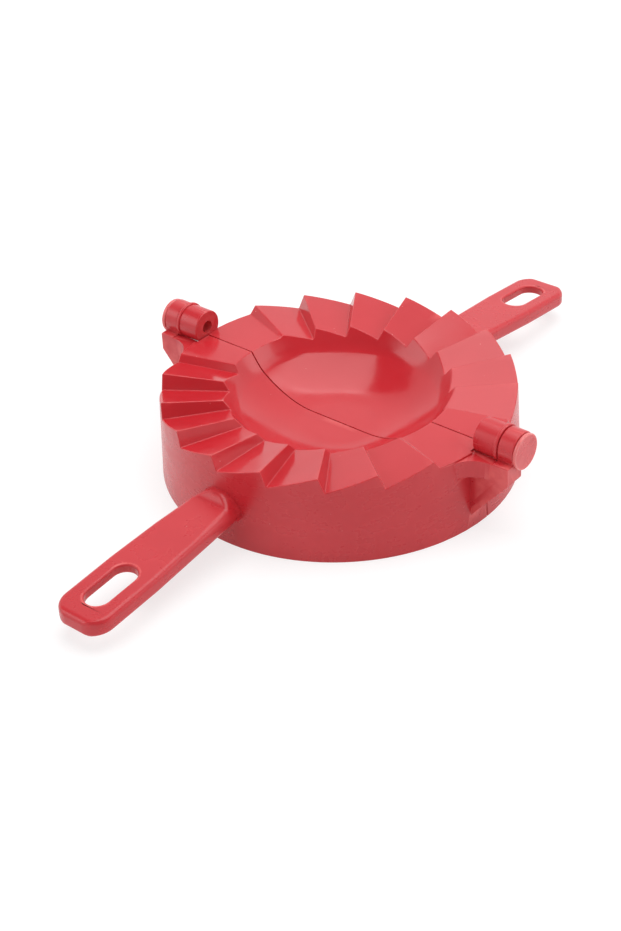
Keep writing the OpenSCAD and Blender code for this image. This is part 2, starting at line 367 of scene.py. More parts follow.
def settle_shading(piece: bpy.types.Object, angle: float = 35.0) -> None:
    """Shades a piece smooth and leans its normals on its larger faces.

    Args:
        piece: The finished solid.
        angle: Angle in degrees above which an edge stays sharp.
    """
    hold(piece)
    bpy.ops.object.shade_smooth_by_angle(angle=math.radians(angle))
    mod = piece.modifiers.new("normals", "WEIGHTED_NORMAL")
    mod.keep_sharp = True
    mod.weight = 50
    bpy.ops.object.modifier_apply(modifier=mod.name)


# The pieces of the press.


@dataclass(frozen=True)
class Station:
    """One upright section through the rim.

    Attributes:
        angle: Angle from the left hinge over the back, in degrees.
        outer: Height of the rim at its outer edge in mm.
        inner: Height of the rim at its inner end in mm.
    """

    angle: float
    outer: float
    inner: float


@dataclass
class PleatedShell:
    """Bowl, saw-tooth rim and skirt of one half, as one thin moulded shell. Sizes in mm."""

    half: Half
    skirt_r: float = 61.5
    tip_r: float = 60.2
    wall: float = 2.0
    cut_edge: float = 0.9
    split_gap: float = 0.4
    teeth: int = 9
    pitch: float = 18.0
    phase: float = 2.2
    lean: float = 1.0
    tip_z: float = 31.3
    valley_z: float = 26.0
    land_z: float = 28.3
    tip_in_z: float = 28.9
    valley_in_z: float = 25.7
    tip_in_r: float = 39.3
    bowl_depth: float = 14.7
    floor_r: float = 12.0
    turn_r: float = 33.2
    turn_z: float = 21.3
    foot_r: float = 36.5
    foot_z: float = 24.9
    slope_lean: float = 0.69
    notch_angle: float = 6.3
    notch_r: float = 59.0
    seam_z: float = 23.5
    dish_steps: int = 12
    curve_steps: int = 5
    ramp_steps: int = 6
    land_steps: int = 4
    edge_round: float = 0.66
    fine_share: float = 0.5
    rim_rings: tuple[float, ...] = (42.0, 47.0, 53.5)
    under_rings: tuple[float, ...] = (50.0, 43.0)
    wall_rings: tuple[float, ...] = (19.0, 9.0)
    thin_z: float = 3.0
    bend_r: float = 40.2
    bend_drop: float = 1.3
    bend_rise: float = 0.8

    def wall_r(self, z: float) -> float:
        """Outer radius of the wall at a height."""
        return self.skirt_r - (self.skirt_r - self.tip_r) * z / self.tip_z

    def riser(self, i: int) -> float:
        """Angle of the middle of riser i."""
        return 90 + self.phase + (i - (self.teeth - 1) / 2) * self.pitch

    def stations(self) -> list[Station]:
        """Lists the upright sections round the half.

        Returns:
            The sections from the left hinge over the back to the right one.
        """
        flat = self.land_z
        first = self.riser(0) - self.lean
        last = self.riser(self.teeth - 1) + self.lean
        left = [first * k / self.land_steps for k in range(self.land_steps + 1)]
        right = [last + (180 - last) * k / self.land_steps for k in range(self.land_steps + 1)]
        out = [Station(a, flat, flat) for a in left]
        for i in range(self.teeth - 1):
            a0, a1 = self.riser(i) + self.lean, self.riser(i + 1) - self.lean
            for k in range(self.ramp_steps + 1):
                t = k / self.ramp_steps
                out.append(Station(a0 + (a1 - a0) * t, self.tip_z + (self.valley_z - self.tip_z) * t,
                                   self.tip_in_z + (self.valley_in_z - self.tip_in_z) * t))
        return out + [Station(a, flat, flat) for a in right]

    def rim_z(self, s: Station, r: float) -> float:
        """Height of the rim's top face at a radius of a section."""
        return s.inner + (s.outer - s.inner) * (r - self.tip_in_r) / (self.tip_r - self.tip_in_r)

    def slope_top(self, s: Station) -> float:
        """Height at which the slope inside the teeth meets the rim's top face."""
        k = (s.outer - s.inner) / (self.tip_r - self.tip_in_r)
        foot = self.foot_r - self.slope_lean * self.foot_z - self.tip_in_r
        return (s.inner + k * foot) / (1 - self.slope_lean * k)

    def floor_z(self) -> float:
        """Height of the bowl's level floor."""
        return self.land_z - self.bowl_depth

    def bowl_z(self, r: float) -> float:
        """Height of the bowl at a radius: level floor, dish and curved wall."""
        if r <= self.floor_r:
            return self.floor_z()
        rise, run = self.turn_z - self.floor_z(), self.turn_r - self.floor_r
        if r <= self.turn_r:
            return self.floor_z() + rise * ((r - self.floor_r) / run) ** 2
        slope, left = 2 * rise / run, self.foot_r - self.turn_r
        curve = (self.foot_z - self.turn_z - slope * left) / left ** 2
        return self.turn_z + slope * (r - self.turn_r) + curve * (r - self.turn_r) ** 2

    def radii(self) -> list[float]:
        """Radii of the bowl's rings, from the edge of its level floor to the foot of the slope."""
        width = self.turn_r - self.floor_r
        dish = [self.floor_r + width * k / self.dish_steps for k in range(self.dish_steps + 1)]
        run = self.foot_r - self.turn_r
        return dish + [self.turn_r + run * k / self.curve_steps for k in range(1, self.curve_steps + 1)]

    def under(self, r: float) -> Point:
        """A point of the bowl's underside, one wall square to its top face."""
        step = 0.05
        slope = (self.bowl_z(r) - self.bowl_z(r - step)) / step
        size = math.sqrt(1 + slope * slope)
        return r + self.wall * slope / size, self.bowl_z(r) - self.wall / size

    def section(self, s: Station) -> list[Point]:
        """The outline of the shell in one upright section.

        Args:
            s: The section.

        Returns:
            Radius and height of each point, from the middle over the top, down the wall and back below.
        """
        top = self.slope_top(s)
        inner = self.wall_r(self.seam_z) - self.wall
        over = [(0.0, self.floor_z())] + [(r, self.bowl_z(r)) for r in self.radii()]
        over += [(self.foot_r + (top - self.foot_z) * self.slope_lean, top)]
        over += [(r, self.rim_z(s, r)) for r in self.rim_rings]
        rim_out = self.rim_z(s, self.tip_r)
        down = [(self.wall_r(z), z) for z in (rim_out, *self.wall_rings)]
        down += [(self.skirt_r, 0.0), (self.skirt_r - self.cut_edge, 0.0)]
        down += [(self.wall_r(z) - self.wall, z) for z in (self.thin_z, self.seam_z - 2)]
        bend_z = self.foot_z - self.bend_drop + (top - self.valley_in_z) * self.bend_rise
        back = [(r, self.rim_z(s, r) - self.wall) for r in (inner, *self.under_rings)]
        back += [(self.bend_r, bend_z)]
        back += [self.under(r) for r in reversed(self.radii())]
        return over + down + back + [(0.0, self.floor_z() - self.wall)]

    def draw_profile(self, outline: Sequence[Point]) -> bpy.types.Object:
        """Draws an outline over the left hinge by extruding one point along it.

        Args:
            outline: Radius and height of each point in mm.

        Returns:
            The open line.
        """
        deselect()
        bpy.ops.mesh.primitive_plane_add(size=1 * MM, location=(-outline[0][0] * MM, 0, outline[0][1] * MM))
        piece = bpy.context.object
        set_place(piece)
        bpy.ops.object.mode_set(mode="EDIT")
        bpy.ops.mesh.select_mode(type="VERT")
        bpy.ops.mesh.select_all(action="SELECT")
        bpy.ops.mesh.merge(type="CENTER")
        for (r0, z0), (r1, z1) in zip(outline, outline[1:]):
            bpy.ops.mesh.extrude_region_move(
                TRANSFORM_OT_translate={"value": (-(r1 - r0) * MM, 0, (z1 - z0) * MM)})
        close_edit()
        return piece

    def build(self) -> bpy.types.Object:
        """Spins the outline round the half, sets each point at its section's place and rounds the edges.

        Returns:
            The closed shell, in the back half's place and not yet turned to its own.
        """
        stations = self.stations()
        table = [self.section(s) for s in stations]
        steps = len(stations) - 1
        guide = table[steps // 2]
        piece = self.draw_profile(guide)
        piece.name = f"{self.half.name.lower()}_shell"
        edit(piece)
        bpy.ops.mesh.select_all(action="SELECT")
        bpy.ops.mesh.spin(steps=steps, angle=math.pi, center=(0, 0, 0), axis=(0, 0, -1))
        bpy.ops.mesh.select_all(action="SELECT")
        bpy.ops.mesh.remove_doubles(threshold=1e-7)
        close_edit()
        self.settle(piece, stations, table, guide)
        edit(piece, "EDGE")
        bpy.ops.mesh.select_all(action="DESELECT")
        bpy.ops.mesh.select_non_manifold()
        bpy.ops.mesh.edge_face_add()
        close_edit()
        finish_mesh(piece, 1e-7)
        edit(piece, "EDGE")
        pick_edges(piece, self.is_fan)
        bpy.ops.mesh.dissolve_edges(use_verts=False)
        close_edit()
        round_by_place(piece, self.edge_round, self.fine_share, self.is_rim)
        if self.half is Half.FRONT:
            self.cut_notches(piece)
        piece.location.y = self.split_gap / 2 * MM
        set_place(piece)
        return piece

    @staticmethod
    def is_fan(a: Vector, b: Vector) -> bool:
        """Says whether an edge fans out from the middle over the level floor, off the split line."""
        return min(a.xy.length, b.xy.length) < 1e-7 and max(a.y, b.y) > 1e-6

    @staticmethod
    def is_rim(a: Vector, b: Vector) -> bool:
        """Says whether an edge belongs to the rim's teeth and land, off the split line."""
        return min(a.z, b.z) > 24 * MM and min(a.xy.length, b.xy.length) > 36 * MM and max(a.y, b.y) > 1e-5

    def cut_notches(self, piece: bpy.types.Object) -> None:
        """Cuts the rim back beside the hinge, where the other half's knuckles stand.

        Args:
            piece: The shell, not yet moved off the split line.
        """
        for side in (-1, 1):
            xs = sorted((side * self.notch_r, side * (self.skirt_r + 1)))
            wide = self.notch_r * math.sin(math.radians(self.notch_angle))
            notch = block("notch", (xs[0], -1, self.seam_z), (xs[1], wide, self.tip_z + 1))
            combine(piece, notch, Combine.CUT)

    def settle(self, piece: bpy.types.Object, stations: Sequence[Station], table: Sequence[Sequence[Point]],
               guide: Sequence[Point]) -> None:
        """Sets every point of the evenly spun shell at its own section's angle, radius and height.

        Args:
            piece: The spun shell.
            stations: The sections.
            table: The outline at each section.
            guide: The outline that was spun.
        """
        steps = len(stations) - 1
        for v in piece.data.vertices:
            r = math.hypot(v.co.x, v.co.y)
            if r < 1e-7:
                continue
            z = v.co.z
            i = min(range(len(guide)), key=lambda n: math.hypot(guide[n][0] - r / MM, guide[n][1] - z / MM))
            k = abs(round(math.atan2(v.co.y, -v.co.x) / math.pi * steps))
            t = math.radians(stations[k].angle)
            radius, height = table[k][i]
            v.co = (-radius * math.cos(t) * MM, radius * math.sin(t) * MM, height * MM)


@dataclass
class Handle:
    """An inverted tray with rounded edges, a hanging slot and a rounded boss at its root. Sizes in mm."""

    half: Half
    skirt_r: float = 61.5
    reach: float = 128.2
    root_z: float = 17.5
    end_z: float = 11.3
    thick: float = 5.6
    root_w: float = 17.2
    wide: float = 20.4
    corner_r: float = 7.0
    edge_r: float = 1.7
    low_r: float = 1.5
    boss_h: float = 2.3
    boss_from: float = 62.0
    boss_to: float = 66.2
    boss_round: float = 2.2
    soft_r: float = 1.2
    soft_to: float = 82.0
    slot_l: float = 20.0
    slot_w: float = 9.0
    slot_y: float = 111.3
    skin: float = 2.9
    wall: float = 2.0
    slot_round: float = 0.7
    arc_steps: int = 8
    low_steps: int = 4
    guide_y: float = 80.0
    start_l: float = 0.4
    hollow_in: float = 1.6
    hollow_low: float = -5.0
    support: float = 0.25

    def top(self, y: float) -> float:
        """Height of the top face's straight line at a distance from the middle."""
        return self.root_z + (self.end_z - self.root_z) * (y - self.skirt_r) / (self.reach - self.skirt_r)

    def side(self, y: float) -> float:
        """Half the width at a distance from the middle."""
        part = max(0.0, min(1.0, (y - self.skirt_r) / (self.slot_y - self.slot_l / 2 - self.skirt_r)))
        turn = max(0.0, y - self.reach + self.corner_r)
        straight = (self.root_w + (self.wide - self.root_w) * part) / 2
        return straight - self.corner_r + math.sqrt(self.corner_r ** 2 - turn ** 2)

    def boss(self, y: float) -> float:
        """Height of the root's boss above the straight line."""
        part = max(0.0, min(1.0, (y - self.boss_from) / (self.boss_to - self.boss_from)))
        return self.boss_h * (1 + math.cos(math.pi * part)) / 2

    def round_r(self, y: float) -> float:
        """Radius of the top edges, which is larger near the root."""
        part = max(0.0, min(1.0, (y - self.boss_to) / (self.soft_to - self.boss_to)))
        return self.edge_r + self.boss_round * self.boss(y) + self.soft_r * (1 - part)

    def rows(self) -> list[float]:
        """Lists the distances of the upright slices from the root to the end."""
        out = [self.skirt_r - 1.2, self.skirt_r]
        out += [self.boss_from + (self.boss_to - self.boss_from) * k / 10 for k in range(11)]
        out += [70.0, 76.0, self.soft_to, 92.0, self.slot_y - self.slot_l / 2, 110.0]
        return out + [self.reach - self.corner_r * (1 - math.sin(math.pi / 2 * k / 10)) for k in range(11)]

    def end_step(self, y: float, radius: float) -> float:
        """How far a rounding of a given radius has turned in at a distance, near the end."""
        short = max(0.0, radius - (self.reach - y))
        return radius - math.sqrt(radius ** 2 - short ** 2)

    def slice(self, y: float) -> list[Point]:
        """The outline of one upright slice.

        Args:
            y: Distance from the middle.

        Returns:
            Points up the right side from the low edge, over the top and down the left side.
        """
        drop, rise = self.end_step(y, self.edge_r), self.end_step(y, self.low_r)
        side, r, low_r = self.side(y), self.round_r(y) - drop, self.low_r - rise
        low, top = self.top(y) - self.thick + rise, self.top(y) + self.boss(y) - drop
        under = [math.pi / 2 * k / self.low_steps for k in range(self.low_steps + 1)]
        over = [math.pi / 2 * k / self.arc_steps for k in range(self.arc_steps + 1)]
        right = [(side - low_r + low_r * math.sin(t), low + low_r - low_r * math.cos(t)) for t in under]
        right += [(side - r + r * math.cos(t), top - r + r * math.sin(t)) for t in over]
        return right + [(-x, z) for x, z in reversed(right)]

    def build(self) -> bpy.types.Object:
        """Extrudes the handle slice by slice, sets each slice's outline, hollows it and cuts the slot.

        Returns:
            The closed handle of the back half.
        """
        rows = self.rows()
        guide = self.slice(self.guide_y)
        half_w = max(x for x, _ in guide)
        low, top = min(z for _, z in guide), max(z for _, z in guide)
        first = rows[0]
        piece = block(f"{self.half.name.lower()}_handle_body", (-half_w, first - self.start_l, low),
                      (half_w, first, top))
        edit(piece, "EDGE")
        pick_edges(piece, lambda a, b: (min(a.z, b.z) > (low + 1) * MM and abs(a.x - b.x) < 1e-6
                                        and abs(a.y - b.y) > 1e-6))
        bpy.ops.mesh.bevel(offset=self.round_r(self.guide_y) * MM, segments=self.arc_steps, affect="EDGES")
        bpy.ops.mesh.select_all(action="DESELECT")
        pick_edges(piece, lambda a, b: max(a.z, b.z) < (low + 0.01) * MM and abs(a.x - b.x) < 1e-6)
        bpy.ops.mesh.bevel(offset=self.low_r * MM, segments=self.low_steps, affect="EDGES")
        bpy.ops.mesh.select_mode(type="FACE")
        bpy.ops.mesh.select_all(action="DESELECT")
        pick_faces(piece, lambda f: f.normal.y > 0.99)
        for last, this in zip(rows, rows[1:]):
            bpy.ops.mesh.extrude_region_move(TRANSFORM_OT_translate={"value": (0, (this - last) * MM, 0)})
        bpy.ops.mesh.select_all(action="DESELECT")
        close_edit()
        self.settle(piece, rows, guide)
        finish_mesh(piece)
        self.hollow(piece)
        self.cut_slot(piece)
        return piece

    def settle(self, piece: bpy.types.Object, rows: Sequence[float], guide: Sequence[Point]) -> None:
        """Sets every point of the even bar on its own slice's outline.

        Args:
            piece: The even bar.
            rows: The slices.
            guide: The outline that was extruded.
        """
        table = [self.slice(y) for y in rows]
        for v in piece.data.vertices:
            x, y, z = v.co / MM
            i = min(range(len(guide)), key=lambda n: math.hypot(guide[n][0] - x, guide[n][1] - z))
            k = min(range(len(rows)), key=lambda n: abs(rows[n] - y))
            v.co.x, v.co.z = table[k][i][0] * MM, table[k][i][1] * MM

    def hollow(self, piece: bpy.types.Object) -> None:
        """Takes the hollow out of the underside.

        Args:
            piece: The solid handle.
        """
        y0, y1 = self.skirt_r - self.hollow_in, self.reach - self.wall
        wide_y = self.slot_y - self.slot_l / 2
        core = block("handle_core", (-1, y0, self.hollow_low), (1, y1, 0))
        edit(core)
        bpy.ops.mesh.select_all(action="SELECT")
        bpy.ops.mesh.bisect(plane_co=(0, wide_y * MM, 0), plane_no=(0, 1, 0))
        close_edit()
        for v in core.data.vertices:
            y = v.co.y / MM
            side = self.side(max(self.skirt_r, min(y, wide_y))) - self.wall
            v.co.x = math.copysign(side * MM, v.co.x)
            v.co.z = (self.top(y) - self.skin) * MM if v.co.z > -1 * MM else self.hollow_low * MM
        edit(core, "EDGE")
        pick_edges(core, lambda a, b: min(a.y, b.y) > (y1 - 0.1) * MM and abs(a.z - b.z) > 1 * MM)
        bpy.ops.mesh.bevel(offset=(self.corner_r - self.wall) * MM, segments=10, affect="EDGES")
        close_edit()
        combine(piece, core, Combine.CUT)

    def cut_slot(self, piece: bpy.types.Object) -> None:
        """Cuts the hanging slot with a cutter that flares at the top, so that the slot's edge is round.

        Args:
            piece: The handle.
        """
        w, l, r = self.slot_w / 2, self.slot_l / 2, self.slot_round
        turns = [math.pi / 2 * k / 5 for k in range(6)]
        rings = [(r * (math.sin(t) - 1), r * (1 - math.cos(t))) for t in turns] + [(3.0, r)]
        cutter = block("slot_cutter", (-w, self.slot_y - l, -20), (w, self.slot_y + l, -r))
        edit(cutter, "EDGE")
        pick_edges(cutter, lambda a, b: abs(a.z - b.z) > 1 * MM)
        bpy.ops.mesh.bevel(offset=(w - 0.02) * MM, segments=16, affect="EDGES")
        bpy.ops.mesh.select_mode(type="FACE")
        bpy.ops.mesh.select_all(action="DESELECT")
        pick_faces(cutter, lambda f: f.normal.z > 0.99)
        for (z0, _), (z1, _) in zip(rings, rings[1:]):
            bpy.ops.mesh.extrude_region_move(TRANSFORM_OT_translate={"value": (0, 0, (z1 - z0) * MM)})
        close_edit()
        for v in cutter.data.vertices:
            x, y, z = v.co.x / MM, v.co.y / MM - self.slot_y, v.co.z / MM
            near = max(w - l, min(l - w, y))
            size = math.hypot(x, y - near)
            grow = 1 + min(rings, key=lambda ring: abs(ring[0] - z))[1] / size if z > -r - 0.01 else 1.0
            x, y = x * grow, near + (y - near) * grow + self.slot_y
            v.co = (x * MM, y * MM, (z + self.top(y)) * MM)
        combine(piece, cutter, Combine.CUT)
        slope = self.top(1) - self.top(0)
        square = Vector((0, -slope, 1)).normalized()
        edit(piece, "FACE")
        pick_faces(piece, lambda f: f.normal.dot(square) > 0.9999)
        for _ in range(2):
            bpy.ops.mesh.inset(thickness=self.support * MM)
        close_edit()


@dataclass
class FrontBracket:
    """A hinge bracket of the front half with its outer knuckle, at the right end. Sizes in mm."""

    axis_z: float = 31.4
    knuckle_r: float = 6.0
    knuckle_mid: float = 68.6
    knuckle_out: float = 74.5
    gap: float = 0.15
    lip_r: float = 6.5
    lip_l: float = 1.2
    top_z: float = 27.6
    front_y: float = -8.2
    thick: float = 3.5
    band_h: float = 6.2
    band_from: float = 15.0
    skirt_r: float = 60.4
    foot_x: float = 60.0
    foot_z: float = 4.2
    pin_r: float = 2.25
    split_gap: float = 0.4
    edge_round: float = 0.5
    wall_from: float = 57.0
    band_x: float = 54.0
    core_top: float = 28.4
    filler_low: tuple[float, float, float] = (58.3, -6.8, 22.5)
    filler_out: float = 61.5
    filler_round: float = 0.2

    def slanted(self, piece: bpy.types.Object) -> None:
        """Cuts a piece along the bracket's slanted lower edge."""
        run, rise = self.knuckle_out - self.foot_x, self.top_z - self.band_h - self.foot_z
        slice_off(piece, (self.foot_x, 0, self.foot_z), (rise, 0, -run))

    def band_curve(self) -> tuple[float, float]:
        """Radius and middle X of the hollow curve that runs smoothly from skirt to bracket front."""
        part = math.sin(math.radians(self.band_from))
        radius = (self.skirt_r * part + self.front_y) / (1 - part)
        return radius, (self.skirt_r + radius) * math.cos(math.radians(self.band_from))

    def build(self) -> bpy.types.Object:
        """Builds wall, band, block and knuckle, clears the inner knuckle and bores the pin hole.

        Returns:
            The right bracket, in the front half's place.
        """
        back_y, low_z = self.front_y + self.thick, self.top_z - self.band_h
        block_x = self.knuckle_mid + self.gap
        piece = block("bracket_wall", (self.wall_from, self.front_y, self.foot_z),
                      (self.knuckle_out, back_y, self.top_z))
        self.slanted(piece)
        radius, middle = self.band_curve()
        start_y = -self.skirt_r * math.sin(math.radians(self.band_from)) - 0.1
        band = block("bracket_band", (self.band_x, start_y, low_z), (middle, back_y, self.top_z))
        curve_y = self.front_y - radius
        curve = post("band_curve", radius, middle, curve_y, low_z - 1, self.top_z + 1, 160)
        combine(band, curve, Combine.CUT)
        combine(piece, band, Combine.UNION)
        finish_mesh(piece, 1e-5)
        round_edges(piece, self.edge_round, 3, 35)
        foot = block("bracket_block", (block_x, self.front_y, self.foot_z),
                     (self.knuckle_out, -self.split_gap / 2, self.top_z + 0.4))
        self.slanted(foot)
        round_edges(foot, self.edge_round, 3, 20)
        combine(piece, foot, Combine.UNION)
        web = block("bracket_web", (block_x + 0.02, -self.knuckle_r + 0.4, self.top_z - 2),
                    (self.knuckle_out - 0.02, -self.split_gap / 2, self.axis_z))
        combine(piece, web, Combine.UNION)
        barrel = rod("outer_knuckle", self.knuckle_r, block_x, self.knuckle_out, 0, self.axis_z)
        round_edges(barrel, self.edge_round, 3, 35)
        combine(piece, barrel, Combine.UNION)
        combine(piece, rod("clearance", self.knuckle_r + self.gap, 50, block_x, 0, self.axis_z), Combine.CUT)
        lip_x = self.knuckle_mid - self.lip_l - self.gap
        space = rod("lip_clearance", self.lip_r + self.gap, lip_x, block_x, 0, self.axis_z)
        combine(piece, space, Combine.CUT)
        combine(piece, wall_core(self.core_top), Combine.CUT)
        filler = block("notch_filler", self.filler_low, (self.filler_out, back_y - 0.1, self.top_z))
        round_edges(filler, self.filler_round, 2, 35)
        combine(piece, filler, Combine.UNION)
        combine(piece, rod("pin_bore", self.pin_r, 60, 80, 0, self.axis_z), Combine.CUT)
        return piece


@dataclass
class BackKnuckle:
    """An inner knuckle of the back half with its lip and lug, at the right end. Sizes in mm."""

    axis_z: float = 31.4
    radius: float = 6.0
    inner_x: float = 59.4
    outer_x: float = 68.6
    lip_r: float = 6.5
    lip_l: float = 1.2
    bore_r: float = 2.3
    lug_y: Point = (0.3, 5.2)
    lug_z: Point = (22.0, 30.0)
    edge_round: float = 0.35
    core_top: float = 30.5

    def build(self) -> bpy.types.Object:
        """Builds the knuckle with its lip, joins the lug and bores the pin hole.

        Returns:
            The right knuckle, in the back half's place.
        """
        piece = rod("inner_knuckle", self.radius, self.inner_x, self.outer_x, 0, self.axis_z)
        round_edges(piece, self.edge_round, 3, 35)
        lip = rod("knuckle_lip", self.lip_r, self.outer_x - self.lip_l, self.outer_x, 0, self.axis_z)
        round_edges(lip, self.edge_round, 3, 35)
        combine(piece, lip, Combine.UNION)
        lug = block("knuckle_lug", (self.inner_x + 0.2, self.lug_y[0], self.lug_z[0]),
                    (self.outer_x - 0.3, self.lug_y[1], self.lug_z[1]))
        combine(lug, wall_core(self.core_top), Combine.CUT)
        finish_mesh(lug)
        round_edges(lug, self.edge_round, 3, 35)
        combine(piece, lug, Combine.UNION)
        combine(piece, rod("pin_bore", self.bore_r, 50, 80, 0, self.axis_z), Combine.CUT)
        return piece


@dataclass
class HingePin:
    """A headed pin at one end of the hinge. Sizes in mm."""

    end: End
    axis_z: float = 31.4
    tip_x: float = 63.2
    head_x: float = 74.6
    shank_r: float = 2.25
    head_r: float = 6.2
    head_t: float = 1.4
    head_drop: float = 0.5
    dish: float = 0.2
    dish_edge: float = 1.1
    bevel: float = 0.45

    def build(self) -> bpy.types.Object:
        """Extrudes the shank from the head's middle and rounds both.

        Returns:
            The pin, in place.
        """
        head_z = self.axis_z - self.head_drop
        piece = rod("pin", self.head_r, self.head_x, self.head_x + self.head_t, 0, head_z)
        edit(piece, "FACE")
        pick_faces(piece, lambda f: f.normal.x < -0.99)
        bpy.ops.mesh.inset(thickness=(self.head_r - self.shank_r) * MM)
        bpy.ops.transform.translate(value=(0, 0, self.head_drop * MM))
        bpy.ops.mesh.extrude_region_move(
            TRANSFORM_OT_translate={"value": ((self.tip_x - self.head_x) * MM, 0, 0)})
        bpy.ops.mesh.select_all(action="DESELECT")
        pick_faces(piece, lambda f: f.normal.x > 0.99)
        bpy.ops.mesh.inset(thickness=self.dish_edge * MM)
        bpy.ops.transform.translate(value=(-self.dish * MM, 0, 0))
        close_edit()
        finish_mesh(piece)
        round_edges(piece, self.bevel, 4, 40)
        name = f"hinge_pin_{self.end.name.lower()}"
        if self.end is End.LEFT:
            right = piece
            piece = mirrored(piece, f"{name}_round")
            bpy.data.objects.remove(right, do_unlink=True)
        piece.name = f"{name}_round"
        settle_shading(piece)
        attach(piece, Half.FRONT.body)
        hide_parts(name)
        return piece


@dataclass
class Moulding:
    """One whole moulded half: shell, handle and hinge parts in one piece."""

    half: Half

    def nodes(self) -> list[str]:
        """The CAD nodes that this moulding stands for."""
        side = self.half.name.lower()
        hinge = "bracket" if self.half is Half.FRONT else "knuckle"
        return [f"{side}_{n}" for n in ("bowl", "rim", "skirt", "handle", f"{hinge}_left", f"{hinge}_right")]

    def build(self) -> bpy.types.Object:
        """Builds the half's parts and joins them into one closed moulding.

        Returns:
            The moulding, riding on its body.
        """
        side = self.half.name.lower()
        piece = PleatedShell(self.half).build()
        combine(piece, Handle(self.half).build(), Combine.UNION)
        if self.half is Half.FRONT:
            piece.rotation_euler.z = math.pi
            set_place(piece)
        right = FrontBracket().build() if self.half is Half.FRONT else BackKnuckle().build()
        left = mirrored(right, "left_hinge_part")
        combine(piece, right, Combine.UNION)
        combine(piece, left, Combine.UNION)
        piece.name = f"{side}_moulding"
        settle_shading(piece)
        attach(piece, self.half.body)
        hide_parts(*self.nodes())
        log.info("%s: %d faces", piece.name, len(piece.data.polygons))
        return piece


# Finishes.


